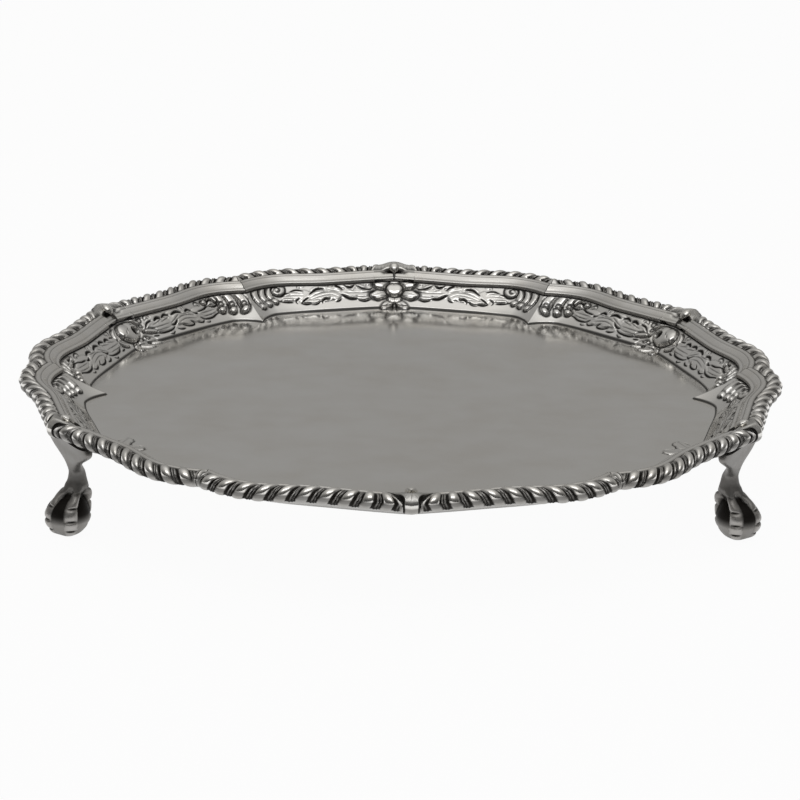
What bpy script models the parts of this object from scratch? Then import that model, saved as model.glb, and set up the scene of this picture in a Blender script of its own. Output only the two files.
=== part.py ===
"""A silver salver: a raised plate with a cast gadroon rim, on three claw-and-ball feet.

Metres, +Z up, origin on the table under the centre of the plate. The rim's outline has six
knuckles, where a leaf clasps the gadroons, and six cusps between them. It is drawn for half a
side, from a knuckle (angle 0) to the next cusp, and mirrored and turned from there.
"""

import math

import bmesh
import bpy
from mathutils import Vector

MM = 0.001
DEG = math.pi / 180

# The whole salver
ACROSS = 254 * MM  # over two opposite clasps
RIM_HEIGHT = 35.4 * MM  # from the table to the gadroons' centre line
SIDES = 6
FEET = 3
HALF_SIDE = math.pi / SIDES
FIT_GAP = 0.3 * MM  # the solder line between pieces

# How far the gadroons' centre line lies inside its place at a knuckle
RIM_WAIST_IN = 3.7 * MM
WAIST_POWER = 1.7  # how sharply the outlines leave a knuckle
RIM_SHOULDER_IN = 0.4 * MM
RIM_CUSP_IN = 3.2 * MM
WAIST_ANGLE = 13 * DEG
RIM_SHOULDER_ANGLE = 23 * DEG

# The edge of the flat well, in the same way
BORDER_WIDTH = 18.5 * MM  # from the gadroons' centre line to the well, at a knuckle
WELL_WAIST_IN = 2.4 * MM
WELL_SHOULDER_IN = 1.3 * MM
WELL_CUSP_IN = 8.0 * MM
WELL_SHOULDER_ANGLE = 24.5 * DEG

# The plate
SHEET = 0.6 * MM
BAND_DROP = 7.6 * MM  # from the flange under the moulding down to the well
BAND_HOLLOW = 0.25  # 0 for a straight slope, more for a deeper hollow

# The chased border's main forms, each a low oval dome: the distance along the border from its
# knuckle, the distance from the centre, half length, half width, rise, and the turn of its
# length from the border's run. Each stands on both sides of its knuckle.
BORDER_RADIUS = 112 * MM  # where the distance along the border is measured
FLOWER = (
    (0.0, 112.2, 3.5, 2.5, 1.8, 0),
    (5.2, 113.7, 3.1, 1.7, 1.0, -8),
    (5.5, 110.6, 3.3, 1.8, 0.95, 6),
    (2.9, 106.4, 3.5, 1.8, 0.9, -42),
)
FRUIT = (
    (0.0, 111.4, 5.3, 3.6, 2.4, 0),
    (2.9, 105.6, 3.8, 1.8, 0.9, -48),
    (7.0, 112.0, 3.0, 1.2, 0.6, 95),
)
LEAVES = (
    (14.3, 109.7, 7.4, 2.2, 0.65, -3),
    (15.6, 112.0, 5.6, 1.3, 0.45, 4),
    (28.6, 109.3, 8.8, 2.4, 0.65, -2),
    (26.6, 111.4, 6.2, 1.3, 0.45, 0),
    (38.9, 111.0, 5.9, 2.0, 0.55, 3),
)
FLOWER_FAN = (
    (45.6, 114.0, 3.1, 2.6, 0.8, 0),
    (48.9, 112.6, 3.9, 1.2, 0.8, 90),
    (52.0, 111.9, 4.4, 1.3, 0.8, 90),
    (55.2, 110.8, 4.8, 1.4, 0.8, 90),
)
FRUIT_FAN = (
    (43.4, 114.2, 3.0, 1.7, 0.8, 0),
    (47.9, 112.4, 3.6, 1.4, 0.8, 90),
    (51.8, 111.6, 4.2, 1.5, 0.8, 90),
    (55.6, 110.5, 4.8, 1.6, 0.8, 90),
)
BORDER_FORMS = (FRUIT + LEAVES + FRUIT_FAN, FLOWER + LEAVES + FLOWER_FAN)  # knuckle by knuckle
LEAF_OVERHANG = 3.0 * MM  # how far the hanging leaves reach over the well's edge

# The cast rim: gadroons outside, an ogee moulding inside them
GADROON_RADIUS = 2.8 * MM
GADROON_PITCH = 6.3 * MM
GROOVE_DEPTH = 0.6 * MM
GROOVE_LEAN = 1.6 * MM  # how far a groove runs along the rim between its top and its foot
MOULDING_WIDTH = 7.7 * MM  # from the gadroons' centre line to the moulding's inner lip
MOULDING_RISE = 1.7 * MM  # the upper roll's crest over the gadroons' centre line
UPPER_ROLL_IN = 0.9 * MM  # from the gadroons in to that crest
LOWER_ROLL = (  # outward from the inner lip, height over it, share of a clasp's rise
    (0, 0, 0),
    (1.2 * MM, 0.7 * MM, 0.3),
    (2.4 * MM, 1.3 * MM, 0.6),
)
GADROON_ARC = (35 * DEG, 300 * DEG)  # from level, round the top and the outside
LIP_DROP = 1.1 * MM  # the top of the inner lip under that line
LIP_THICKNESS = 0.8 * MM

# The leaf clasps
CLASP_HALF_WIDTH = 2.4 * MM  # round the outside of the gadroons
CLASP_HOOD_HALF_WIDTH = 8.0 * MM  # over their top and down the moulding
CLASP_CROWN = 0.3 * MM  # how far its middle stands outside the gadroons
HOOD_RISE = 1.2 * MM  # how much further its middle rises over them
BUD_RADIUS = 1.6 * MM
BUD_PROFILE = ((0, 0.3), (0.25, 0.65), (0.5, 1), (0.75, 0.95), (0.95, 0.5))  # along, width

# The feet
BALL_RADIUS = 6.9 * MM
BALL_SET_IN = 2.9 * MM  # from the gadroons' centre line in to the ball's centre
BALL_FLAT = 0.35 * MM  # worn or filed off the bottom
TOE_PROUD = 0.7 * MM
TOE_ANGLES = (0 * DEG, 75 * DEG, 180 * DEG, -75 * DEG)
TOE_HALF_ANGLE = 20 * DEG
LEG_HEIGHT = 20.5 * MM  # where the leg is thinnest
LEG_HALF_WIDTH = 2.3 * MM
LEG_HALF_DEPTH = 2.5 * MM
LEG_SET_BACK = 3.5 * MM  # the thinnest place lies this far inside the ball's centre
SHIELD_HALF_WIDTH = 16.0 * MM
SHIELD_HALF_DEPTH = 1.5 * MM
SHIELD_TOP_HALF_DEPTH = 2.6 * MM
SHIELD_SET_BACK = 1.1 * MM

# A foot's rings. Round the ball: degrees up from its middle, and how far the toes show
BALL_RINGS = ((-52, 0.4), (-32, 1), (-10, 1), (12, 1))
# The claw above it, in ball radii: height, half width, half depth, and the set back and the
# toes as shares of the whole
CLAW_RINGS = (
    (0.53, 0.91, 0.94, 0.23, 1),
    (0.88, 0.77, 0.80, 0.54, 1),
    (1.23, 0.56, 0.58, 0.86, 0.6),
)
ANKLE_WIDER = 1.2  # halfway from the claw to the leg's thinnest place
# The shield, as shares: height from the leg to the top, width, depth, set back
SHIELD_RINGS = (
    (0.24, 0.31, 1.3, 2.2),
    (0.45, 0.51, 1.0, 1.3),
    (0.60, 0.72, 1.0, 1.0),
    (0.74, 0.90, 1.1, 1.0),
    (0.84, 1.00, 1.3, 1.0),
)
SHIELD_TOP_WIDTH = 0.94  # share of its widest

# How finely the curves are divided
WAIST_STEPS = 10
SHOULDER_STEPS = 6
CUSP_STEPS = 12
BAND_STEPS = 6
UNDERSIDE_STEPS = 3
ARC_STEPS = 8
CLASP_STEPS = 10
FOOT_COLUMNS = 24

# Places that follow from the sizes above
RIM_KNUCKLE = ACROSS / 2 - GADROON_RADIUS - CLASP_CROWN
WELL_KNUCKLE = RIM_KNUCKLE - BORDER_WIDTH
GADROON_ROOT = 0.75 * GADROON_RADIUS  # where the underside meets the gadroons
FLANGE_Z = RIM_HEIGHT - LIP_DROP - LIP_THICKNESS - FIT_GAP
WELL_Z = FLANGE_Z - BAND_DROP
RIM_UNDERSIDE_Z = min(FLANGE_Z - SHEET, RIM_HEIGHT - GADROON_RADIUS - CLASP_CROWN)
FOOT_TOP_Z = RIM_UNDERSIDE_Z - FIT_GAP
BALL_CENTRE_Z = BALL_RADIUS - BALL_FLAT

# The middle of a clasp's end faces, inside the gadroons
HUB_IN = GADROON_ROOT
HUB_HEIGHT = -LIP_THICKNESS / 2
HUB_HALF_WIDTH = (CLASP_HALF_WIDTH + CLASP_HOOD_HALF_WIDTH) / 2


def ease(share):
    """0 to 1, starting and ending level."""
    return (1 - math.cos(math.pi * share)) / 2


def scallop(angle, knuckle, waist_in, shoulder_in, cusp_in, shoulder_angle):
    """The radius of a six-sided outline at an angle from a knuckle, up to the next cusp."""
    if angle < WAIST_ANGLE:
        return knuckle - waist_in * (1 - (1 - angle / WAIST_ANGLE) ** WAIST_POWER)
    if angle < shoulder_angle:
        share = (angle - WAIST_ANGLE) / (shoulder_angle - WAIST_ANGLE)
        return knuckle - waist_in + (waist_in - shoulder_in) * ease(share)
    share = (angle - shoulder_angle) / (HALF_SIDE - shoulder_angle)
    return knuckle - shoulder_in - (cusp_in - shoulder_in) * share**2


def rim_radius(angle):
    return scallop(
        angle, RIM_KNUCKLE, RIM_WAIST_IN, RIM_SHOULDER_IN, RIM_CUSP_IN, RIM_SHOULDER_ANGLE
    )


def well_radius(angle):
    return scallop(
        angle, WELL_KNUCKLE, WELL_WAIST_IN, WELL_SHOULDER_IN, WELL_CUSP_IN, WELL_SHOULDER_ANGLE
    )


def radius_inside(angle, inset):
    """The radius of the line that runs a distance inside the gadroons' centre line."""
    angle = min(max(angle, 0), HALF_SIDE)
    step = 0.1 * DEG
    before, after = max(angle - step, 0), min(angle + step, HALF_SIDE)
    slope = (rim_radius(after) - rim_radius(before)) / (after - before)
    return rim_radius(angle) - inset * math.hypot(1, slope / rim_radius(angle))


def polar(radius, angle, height):
    return Vector((radius * math.cos(angle), radius * math.sin(angle), height))


def half_side_angles():
    """Angles from a knuckle to its cusp, with one on each bend of the outlines."""
    spans = (
        (0, WAIST_ANGLE, WAIST_STEPS),
        (WAIST_ANGLE, RIM_SHOULDER_ANGLE, SHOULDER_STEPS),
        (RIM_SHOULDER_ANGLE, HALF_SIDE, CUSP_STEPS),
    )
    angles = [start + (end - start) * i / n for start, end, n in spans for i in range(n)]
    return angles + [HALF_SIDE]


def silver(name, shade, roughness):
    """Polished silver of the given brightness."""
    material = bpy.data.materials.new(name)
    material.use_nodes = True
    shader = material.node_tree.nodes["Principled BSDF"]
    shader.inputs["Base Color"].default_value = (shade, shade * 0.985, shade * 0.96, 1)
    shader.inputs["Metallic"].default_value = 1
    shader.inputs["Roughness"].default_value = roughness
    return material


def add_object(name, mesh, material):
    obj = bpy.data.objects.new(name, mesh)
    bpy.context.scene.collection.objects.link(obj)
    if not mesh.materials:
        mesh.materials.append(material)
    return obj


def finished_mesh(name, bm, sharp_angle=35 * DEG):
    """A smooth-shaded mesh with its faces turned outward."""
    bmesh.ops.recalc_face_normals(bm, faces=bm.faces)
    mesh = bpy.data.meshes.new(name)
    bm.to_mesh(mesh)
    bm.free()
    mesh.shade_smooth()
    mesh.set_sharp_from_angle(angle=sharp_angle)
    return mesh


def bridge(bm, ring, next_ring):
    """Faces between two closed rings of as many vertices."""
    for i, vertex in enumerate(ring):
        j = (i + 1) % len(ring)
        bm.faces.new((vertex, ring[j], next_ring[j], next_ring[i]))


def loft(name, rings, hubs=(None, None), sharp_angle=35 * DEG):
    """A solid through closed rings of points. Each end is one flat face, or a fan from a hub."""
    bm = bmesh.new()
    rows = [[bm.verts.new(point) for point in ring] for ring in rings]
    for row, next_row in zip(rows, rows[1:]):
        bridge(bm, row, next_row)
    for row, hub in zip((rows[0], rows[-1]), hubs):
        if hub is None:
            bm.faces.new(row)
            continue
        middle = bm.verts.new(hub)
        for i, vertex in enumerate(row):
            bm.faces.new((vertex, row[(i + 1) % len(row)], middle))
    return finished_mesh(name, bm, sharp_angle)


def relief(forms, along, radius):
    """How far the highest of the border's forms stands out at a place on the band."""
    highest = 0
    for place, middle, half_length, half_width, rise, degrees in forms:
        out = Vector((along - place * MM, radius - middle * MM))
        run = Vector((math.cos(degrees * DEG), math.sin(degrees * DEG)))
        share = math.hypot(out.dot(run) / half_length, out.cross(run) / half_width) / MM
        highest = max(highest, rise * MM * math.sqrt(max(0, 1 - share**2)))
    return highest


def plate_top(angle, forms):
    """A radial cut up the plate's top from the hanging leaves' tips to the flange's edge."""
    well = well_radius(angle)
    band_top = radius_inside(angle, MOULDING_WIDTH + FIT_GAP)
    tilt = math.atan2(BAND_DROP, band_top - well)
    points = [(well - LEAF_OVERHANG, WELL_Z)]
    for i in range(BAND_STEPS + 1):
        share = i / BAND_STEPS
        radius = well + (band_top - well) * share
        height = WELL_Z + BAND_DROP * (share - BAND_HOLLOW * share * (1 - share))
        rise = relief(forms, angle * BORDER_RADIUS, radius) if i < BAND_STEPS else 0
        points.append((radius - rise * math.sin(tilt), height + rise * math.cos(tilt)))
    return points + [(radius_inside(angle, GADROON_ROOT + FIT_GAP), FLANGE_Z)]


def plate_underside(angle):
    """A radial cut from the flange's lower edge down to the well's underside."""
    well = well_radius(angle)
    band_top = radius_inside(angle, MOULDING_WIDTH + FIT_GAP)
    tilt = math.atan2(BAND_DROP, band_top - well)
    corner = SHEET * math.tan(tilt / 2)
    points = [(radius_inside(angle, GADROON_ROOT + FIT_GAP), FLANGE_Z - SHEET)]
    for i in reversed(range(UNDERSIDE_STEPS + 1)):
        share = i / UNDERSIDE_STEPS
        radius = well + (band_top - well) * share
        height = WELL_Z + BAND_DROP * (share - BAND_HOLLOW * share * (1 - share))
        if i in (0, UNDERSIDE_STEPS):
            points.append((radius + corner, height - SHEET))
        else:
            points.append((radius + SHEET * math.sin(tilt), height - SHEET * math.cos(tilt)))
    return points


def make_plate(material):
    """The raised plate: a flat well, a chased band that slopes up from it, and a flange.

    The underside is plain, so it has a column of points for every second one of the top.
    """
    half = half_side_angles()
    bm = bmesh.new()
    tops = []
    undersides = []
    for side in range(SIDES):
        knuckle = HALF_SIDE * (2 * side + 1)
        forms = BORDER_FORMS[side % 2]
        for angle in [-a for a in half[:0:-1]] + half[:-1]:
            section = plate_top(abs(angle), forms)
            tops.append([bm.verts.new(polar(r, knuckle + angle, z)) for r, z in section])
            if len(tops) % 2:
                section = plate_underside(abs(angle))
                undersides.append([bm.verts.new(polar(r, knuckle + angle, z)) for r, z in section])
    top_centre = bm.verts.new((0, 0, WELL_Z))
    under_centre = bm.verts.new((0, 0, WELL_Z - SHEET))
    for i, top in enumerate(tops):
        following = tops[(i + 1) % len(tops)]
        for j in range(len(top) - 1):
            bm.faces.new((top[j], following[j], following[j + 1], top[j + 1]))
        bm.faces.new((top_centre, following[0], top[0]))
    for i, under in enumerate(undersides):
        following = undersides[(i + 1) % len(undersides)]
        first, middle, last = (tops[(2 * i + k) % len(tops)][-1] for k in range(3))
        bm.faces.new((first, middle, under[0]))
        bm.faces.new((middle, following[0], under[0]))
        bm.faces.new((middle, last, following[0]))
        for j in range(len(under) - 1):
            bm.faces.new((under[j], following[j], following[j + 1], under[j + 1]))
        bm.faces.new((under_centre, under[-1], following[-1]))
    add_object("salver_plate", finished_mesh("salver_plate", bm, 20 * DEG), material)


def rim_section(groove=0.0, swell=0.0):
    """The rim's cross section as (inset, height, lean, half width of a clasp there).

    The inset runs inward from the gadroons' centre line. The lean is -1 at the top of a
    groove and 1 at its foot, and 0 off the gadroons. The swell, 0 to 1, is a clasp's.
    """
    lip_top = -LIP_DROP
    rise = HOOD_RISE * swell
    hood = CLASP_HOOD_HALF_WIDTH
    points = [
        (MOULDING_WIDTH - out, lip_top + up + lift * rise, 0, hood)
        for out, up, lift in LOWER_ROLL
    ]
    points.append((GADROON_RADIUS + UPPER_ROLL_IN, MOULDING_RISE + rise, 0, hood))
    radius = GADROON_RADIUS + CLASP_CROWN * swell - GROOVE_DEPTH * groove
    first, last = GADROON_ARC
    for i in range(ARC_STEPS + 1):
        share = i / ARC_STEPS
        turn = first + (last - first) * share
        height = radius * math.sin(turn) + rise * max(0, math.sin(turn))
        half_width = CLASP_HALF_WIDTH + (hood - CLASP_HALF_WIDTH) * max(0, 1 - 2 * share)
        points.append((radius * math.cos(turn), height, 2 * share - 1, half_width))
    underside = lip_top - LIP_THICKNESS
    points.append((GADROON_ROOT, underside, 0, CLASP_HALF_WIDTH))
    points.append((MOULDING_WIDTH, underside, 0, hood))
    return points


def rim_point(angle, inset, height):
    return polar(radius_inside(abs(angle), inset), angle, RIM_HEIGHT + height)


def clasp_edge(inset, half_width, gap=0.0):
    """The angle from the knuckle of a clasp's edge, or of the rim beyond a gap."""
    return (half_width + gap) / radius_inside(0, inset)


def make_rim_sections(material):
    """Twelve castings, each from a clasp to a cusp, in mirrored pairs."""
    first = (CLASP_HALF_WIDTH + FIT_GAP) / RIM_KNUCKLE
    last = HALF_SIDE - FIT_GAP / 2 / rim_radius(HALF_SIDE)
    gadroons = max(2, round(rim_radius(WAIST_ANGLE) * (last - first) / GADROON_PITCH))
    rings = []
    for i in range(2 * gadroons + 1):
        ring = []
        straight = first + (last - first) * i / (2 * gadroons)
        for inset, height, lean, half_width in rim_section(groove=i % 2):
            if i == 2 * gadroons:
                angle = HALF_SIDE - FIT_GAP / 2 / radius_inside(HALF_SIDE, inset)
            else:
                wider = clasp_edge(inset, half_width, FIT_GAP) - first
                angle = straight + max(0, wider - 0.4 * (straight - first))
            if 0 < i < 2 * gadroons:
                angle += lean * GROOVE_LEAN / 2 / RIM_KNUCKLE
            ring.append(rim_point(angle, inset, height))
        rings.append(ring)
    hub = rim_point(clasp_edge(HUB_IN, HUB_HALF_WIDTH, FIT_GAP), HUB_IN, HUB_HEIGHT)
    right = loft("rim_section", rings, (hub, None), 25 * DEG)
    mirrored = [[Vector((p.x, -p.y, p.z)) for p in ring] for ring in rings]
    hub = Vector((hub.x, -hub.y, hub.z))
    left = loft("rim_section_mirrored", mirrored, (hub, None), 25 * DEG)
    for number in range(2 * SIDES):
        mesh = right if number % 2 else left
        obj = add_object(f"rim_section_{number + 1:02d}", mesh, material)
        obj.rotation_euler.z = HALF_SIDE * (2 * (number // 2) + 1)


def clasp_mesh():
    """A leaf that wraps the gadroons at a knuckle, narrow outside and a wide hood on top."""
    rings = []
    for i in range(CLASP_STEPS + 1):
        across = 2 * i / CLASP_STEPS - 1
        ring = []
        for inset, height, _, half_width in rim_section(swell=1 - across**2):
            ring.append(rim_point(across * clasp_edge(inset, half_width), inset, height))
        rings.append(ring)
    edge = clasp_edge(HUB_IN, HUB_HALF_WIDTH)
    hubs = [rim_point(side * edge, HUB_IN, HUB_HEIGHT) for side in (-1, 1)]
    return loft("knuckle_clasp", rings, hubs)


def bud_mesh():
    """The bud that lies on a clasp's inner slope, from the moulding's lip to the hood."""
    foot = Vector((radius_inside(0, MOULDING_WIDTH - 1 * MM), 0, RIM_HEIGHT - LIP_DROP))
    tip_height = RIM_HEIGHT + GADROON_RADIUS + 0.7 * HOOD_RISE
    tip = Vector((radius_inside(0, 1.1 * GADROON_RADIUS), 0, tip_height))
    side = Vector((0, 1, 0))
    off = (tip - foot).cross(side).normalized()
    rings = []
    for share, width in BUD_PROFILE:
        ring = []
        for i in range(8):
            turn = math.pi / 4 * i + math.pi / 8
            spoke = off * math.cos(turn) + side * math.sin(turn)
            ring.append(foot.lerp(tip, share) + spoke * BUD_RADIUS * width)
        rings.append(ring)
    return loft("bud", rings)


def make_clasps(material):
    clasp, bud = clasp_mesh(), bud_mesh()
    for number in range(SIDES):
        turn = HALF_SIDE * (2 * number + 1)
        bud_object = add_object(f"bud_{number + 1}", bud, material)
        bud_object.rotation_euler.z = turn
        bud_object.hide_render = True
        bud_object.display_type = "WIRE"
        obj = add_object(f"knuckle_clasp_{number + 1}", clasp, material)
        obj.rotation_euler.z = turn
        union = obj.modifiers.new("bud", "BOOLEAN")
        union.operation = "UNION"
        union.object = bud_object


def foot_stations():
    """Rings up a foot, as (height, half width, half depth, set back, how much the toes show)."""
    ball, leg_back = BALL_RADIUS, LEG_SET_BACK
    pad = math.sqrt(ball**2 - BALL_CENTRE_Z**2)
    stations = [(0, pad, pad, 0, 0)]
    for degrees, toes in BALL_RINGS:
        height = BALL_CENTRE_Z + ball * math.sin(degrees * DEG)
        radius = ball * math.cos(degrees * DEG)
        stations.append((height, radius, radius, 0, toes))
    for up, wide, deep, back, toes in CLAW_RINGS:
        height = BALL_CENTRE_Z + up * ball
        stations.append((height, wide * ball, deep * ball, back * leg_back, toes))
    ankle = (stations[-1][0] + LEG_HEIGHT) / 2
    ankle_width, ankle_depth = ANKLE_WIDER * LEG_HALF_WIDTH, ANKLE_WIDER * LEG_HALF_DEPTH
    stations.append((ankle, ankle_width, ankle_depth, leg_back, 0.2))
    stations.append((LEG_HEIGHT, LEG_HALF_WIDTH, LEG_HALF_DEPTH, leg_back, 0))
    for rise, wide, deep, back in SHIELD_RINGS:
        height = LEG_HEIGHT + (FOOT_TOP_Z - LEG_HEIGHT) * rise
        width, depth = SHIELD_HALF_WIDTH * wide, SHIELD_HALF_DEPTH * deep
        stations.append((height, width, depth, SHIELD_SET_BACK * back, 0))
    top_width = SHIELD_HALF_WIDTH * SHIELD_TOP_WIDTH
    stations.append((FOOT_TOP_Z, top_width, SHIELD_TOP_HALF_DEPTH, SHIELD_SET_BACK, 0))
    return stations


def toe_bump(turn):
    """1 on a toe's ridge and 0 between the toes."""
    away = min(abs((turn - toe + math.pi) % (2 * math.pi) - math.pi) for toe in TOE_ANGLES)
    return max(0, math.cos(math.pi / 2 * min(1, away / TOE_HALF_ANGLE)))


def make_feet(material):
    """Castings with a claw on a ball below and a shield above, which bears on the flange."""
    ball_out = RIM_KNUCKLE - BALL_SET_IN
    rings = []
    for height, half_width, half_depth, set_back, toes in foot_stations():
        ring = []
        for i in range(FOOT_COLUMNS):
            turn = 2 * math.pi * i / FOOT_COLUMNS
            proud = toes * TOE_PROUD * toe_bump(turn)
            out = ball_out - set_back + (half_depth + proud) * math.cos(turn)
            ring.append(Vector((out, (half_width + proud) * math.sin(turn), height)))
        rings.append(ring)
    mesh = loft("claw_foot", rings)
    for number in range(FEET):
        obj = add_object(f"claw_foot_{number + 1}", mesh, material)
        obj.rotation_euler.z = math.pi / 2 + 2 * math.pi * number / FEET


def main():
    for obj in list(bpy.data.objects):
        bpy.data.objects.remove(obj)
    make_plate(silver("polished silver", 0.8, 0.12))
    cast = silver("cast silver", 0.72, 0.2)
    make_rim_sections(cast)
    make_clasps(silver("bright cast silver", 0.8, 0.16))
    make_feet(silver("worn cast silver", 0.68, 0.24))


main()
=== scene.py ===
"""The looks of the silver salver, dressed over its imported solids.

Shapes are worked out in millimetres and turned into metres when a mesh is made. The border's
relief is drawn on a plane: x runs along the border from a flower knuckle (0) to the next fruit
knuckle (SPAN), and y is the distance from the salver's centre less START.
"""

import math

import bpy
import numpy as np
from mathutils import Matrix, Vector


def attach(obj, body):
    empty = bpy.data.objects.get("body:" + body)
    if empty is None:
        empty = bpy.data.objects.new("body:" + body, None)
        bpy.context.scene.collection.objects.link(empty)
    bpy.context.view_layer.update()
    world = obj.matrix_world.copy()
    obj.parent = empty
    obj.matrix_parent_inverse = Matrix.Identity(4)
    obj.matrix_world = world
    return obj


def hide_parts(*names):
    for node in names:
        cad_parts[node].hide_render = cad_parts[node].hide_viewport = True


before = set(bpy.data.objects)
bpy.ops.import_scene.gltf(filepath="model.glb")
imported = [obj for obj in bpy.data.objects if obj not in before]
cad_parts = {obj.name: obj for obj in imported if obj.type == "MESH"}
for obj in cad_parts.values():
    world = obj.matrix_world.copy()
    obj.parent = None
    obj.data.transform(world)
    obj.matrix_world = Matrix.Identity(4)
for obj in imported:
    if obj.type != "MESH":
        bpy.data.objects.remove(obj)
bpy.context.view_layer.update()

MM = 0.001
DEG = math.pi / 180

# The solids' own sizes, in millimetres
ACROSS = 254  # over two opposite clasps
RIM_HEIGHT = 35.4  # from the table to the gadroons' centre line
HALF_SIDE = math.pi / 6
FIT_GAP = 0.3
WAIST_ANGLE = 13 * DEG
WAIST_POWER = 1.7
RIM_SHAPE = (3.7, 0.4, 3.2, 23 * DEG)  # how far in at waist, shoulder and cusp, and its shoulder
WELL_SHAPE = (2.4, 1.3, 8.0, 24.5 * DEG)
BORDER_WIDTH = 18.5
SHEET = 0.6
BAND_DROP = 7.6
BAND_HOLLOW = 0.25
GADROON_RADIUS = 2.8
MOULDING_WIDTH = 7.7
LIP_DROP = 1.1
LIP_THICKNESS = 0.8
CLASP_HALF_WIDTH = 2.4
HOOD_HALF_WIDTH = 8.0
CLASP_CROWN = 0.3
HOOD_RISE = 1.2
BALL_RADIUS = 6.9
BALL_SET_IN = 2.9
BALL_FLAT = 0.35
LEG_HEIGHT = 20.5
LEG_HALF_WIDTH = 2.3
LEG_HALF_DEPTH = 2.5
LEG_SET_BACK = 3.5
SHIELD_HALF_WIDTH = 16.0
SHIELD_HALF_DEPTH = 1.5
SHIELD_SET_BACK = 1.1
SHIELD_TOP_HALF_DEPTH = 2.6

RIM_KNUCKLE = ACROSS / 2 - GADROON_RADIUS - CLASP_CROWN
WELL_KNUCKLE = RIM_KNUCKLE - BORDER_WIDTH
GADROON_ROOT = 0.75 * GADROON_RADIUS
UNDERSIDE = -LIP_DROP - LIP_THICKNESS  # of the moulding, from the gadroons' centre line
FLANGE_Z = RIM_HEIGHT - LIP_DROP - LIP_THICKNESS - FIT_GAP
WELL_Z = FLANGE_Z - BAND_DROP
BALL_CENTRE_Z = BALL_RADIUS - BALL_FLAT
BALL_OUT = RIM_KNUCKLE - BALL_SET_IN
FOOT_TOP_Z = RIM_HEIGHT - GADROON_RADIUS - CLASP_CROWN - FIT_GAP

# The relief's plane
PLANE_RADIUS = 112
SPAN = PLANE_RADIUS * math.pi / 3
START = 100  # the distance from the centre where y is 0


# ---------------- outlines


def scallop(angle, knuckle, waist_in, shoulder_in, cusp_in, shoulder_angle):
    """Radii of a six-sided outline at angles from a knuckle, up to the next cusp."""
    leave = np.clip(1 - angle / WAIST_ANGLE, 0, 1)
    first = knuckle - waist_in * (1 - leave**WAIST_POWER)
    share = np.clip((angle - WAIST_ANGLE) / (shoulder_angle - WAIST_ANGLE), 0, 1)
    second = knuckle - waist_in + (waist_in - shoulder_in) * (1 - np.cos(np.pi * share)) / 2
    share = np.clip((angle - shoulder_angle) / (HALF_SIDE - shoulder_angle), 0, 1)
    third = knuckle - shoulder_in - (cusp_in - shoulder_in) * share**2
    return np.where(angle < WAIST_ANGLE, first, np.where(angle < shoulder_angle, second, third))


def rim_radius(angle):
    return scallop(angle, RIM_KNUCKLE, *RIM_SHAPE)


def well_radius(angle):
    return scallop(angle, WELL_KNUCKLE, *WELL_SHAPE)


def radius_inside(angle, inset):
    """Radii of the line a distance inside the gadroons' centre line."""
    angle = np.clip(angle, 0, HALF_SIDE)
    before, after = np.maximum(angle - 0.1 * DEG, 0), np.minimum(angle + 0.1 * DEG, HALF_SIDE)
    slope = (rim_radius(after) - rim_radius(before)) / (after - before)
    return rim_radius(angle) - inset * np.hypot(1, slope / rim_radius(angle))


def from_knuckle(angle):
    """The angle to the nearest knuckle, 0 to 30 degrees."""
    turn = np.mod(angle - HALF_SIDE, 2 * HALF_SIDE)
    return np.minimum(turn, 2 * HALF_SIDE - turn)


def smooth(value, low, high):
    share = np.clip((value - low) / (high - low), 0, 1)
    return share * share * (3 - 2 * share)


# ---------------- meshes


def add_mesh(name, points, faces, dark, material, sharp_angle):
    """A smooth-shaded object from points in millimetres, with the share per point of black, which is
    oxide in recesses and painted shade elsewhere.
    """
    mesh = bpy.data.meshes.new(name)
    mesh.from_pydata(np.asarray(points) * MM, [], faces)
    attribute = mesh.attributes.new("oxide_and_shade", "FLOAT_COLOR", "POINT")
    dark = np.clip(np.asarray(dark, np.float32), 0, 1)
    colours = np.stack([dark, dark, dark, np.ones_like(dark)], -1)
    attribute.data.foreach_set("color", colours.ravel())
    mesh.materials.append(material)
    mesh.shade_smooth()
    mesh.set_sharp_from_angle(angle=sharp_angle)
    for face in mesh.polygons:
        face.use_smooth = len(face.vertices) == 4
    obj = bpy.data.objects.new(name, mesh)
    bpy.context.scene.collection.objects.link(obj)
    return obj


def turned(points, angle, mirrored=False):
    """Points turned about the salver's axis, and first mirrored in the plane y = 0 if asked."""
    x, y, z = np.asarray(points).reshape(-1, 3).T
    y = -y if mirrored else y
    c, s = math.cos(angle), math.sin(angle)
    return np.stack([c * x - s * y, s * x + c * y, z], -1)


def polar(radius, angle, height):
    """Points from their distance and angle from the salver's axis, and their height."""
    x, y = radius * np.cos(angle), radius * np.sin(angle)
    return np.stack([x, y, np.broadcast_to(height, x.shape)], -1)


def grid_faces(rows, columns, start=0):
    """Quads over a grid of points, row by row. The columns close on themselves."""
    row, column = np.meshgrid(np.arange(rows - 1), np.arange(columns), indexing="ij")
    a = start + row * columns + column
    b = start + row * columns + (column + 1) % columns
    quads = np.stack([a, b, b + columns, a + columns], -1).reshape(-1, 4)
    return quads.tolist()


def loft_faces(rings, size, start=0):
    """Quads round a stack of rings, with a face over each end."""
    last = start + (rings - 1) * size
    faces = grid_faces(rings, size, start)
    faces.append(list(range(start, start + size))[::-1])
    faces.append(list(range(last, last + size)))
    return faces


def loft(rows):
    """Points, their share of black (oxide and painted shade), and faces of a solid whose section is a
    list of rows along it.
    """
    points = np.stack([place for place, shade in rows], 1)
    shades = np.stack([shade for place, shade in rows], 1)
    faces = loft_faces(*points.shape[:2])
    return points.reshape(-1, 3), shades.ravel(), [face[::-1] for face in faces]


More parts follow.
